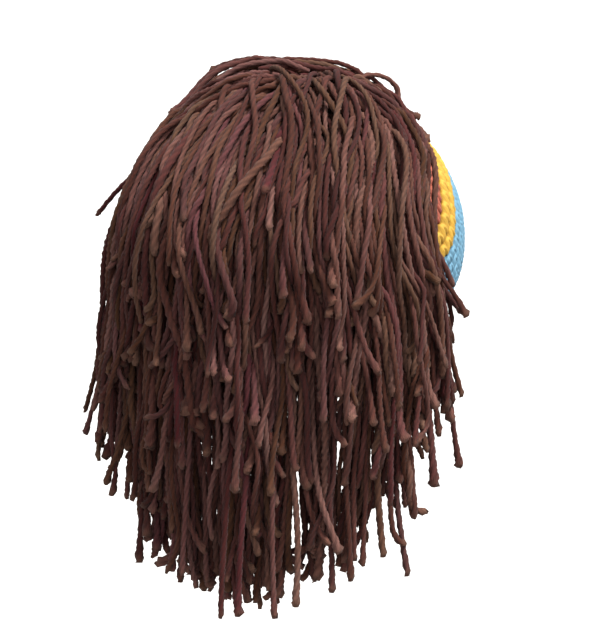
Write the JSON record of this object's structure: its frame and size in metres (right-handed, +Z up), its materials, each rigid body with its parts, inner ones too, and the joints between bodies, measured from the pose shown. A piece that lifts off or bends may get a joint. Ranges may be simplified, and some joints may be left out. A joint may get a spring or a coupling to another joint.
{
  "type": "hat",
  "caption": "Crocheted rasta tam with a ribbed head band, coloured rounds and rows of brown yarn dreadlocks hanging from its crown.",
  "frame": {"origin": "middle of the head band's lower edge, where the hat sits on a head", "axes": "+Z up, -Y towards the wearer's front, +Y towards the back, where the dreadlocks hang, -X towards the wearer's right"},
  "size_m": [0.3111, 0.2932, 0.4524],
  "materials": {
    "crown_yarn": "crocheted brown yarn",
    "coral_yarn": "crocheted coral red yarn",
    "yellow_yarn": "crocheted yellow yarn",
    "blue_yarn": "crocheted light blue yarn",
    "band_yarn": "ribbed dark brown yarn",
    "dread_yarn": "chunky plied brown yarn"
  },
  "bodies": {
    "root": {"crown": "crown_yarn", "coral_round": "coral_yarn", "yellow_round": "yellow_yarn", "blue_round": "blue_yarn", "head_band": "band_yarn", "dreads_crown_row": "dread_yarn", "dreads_upper_row": "dread_yarn", "dreads_middle_row": "dread_yarn", "dreads_lower_row": "dread_yarn", "dreads_nape_row": "dread_yarn"}
  },
  "joints": []
}
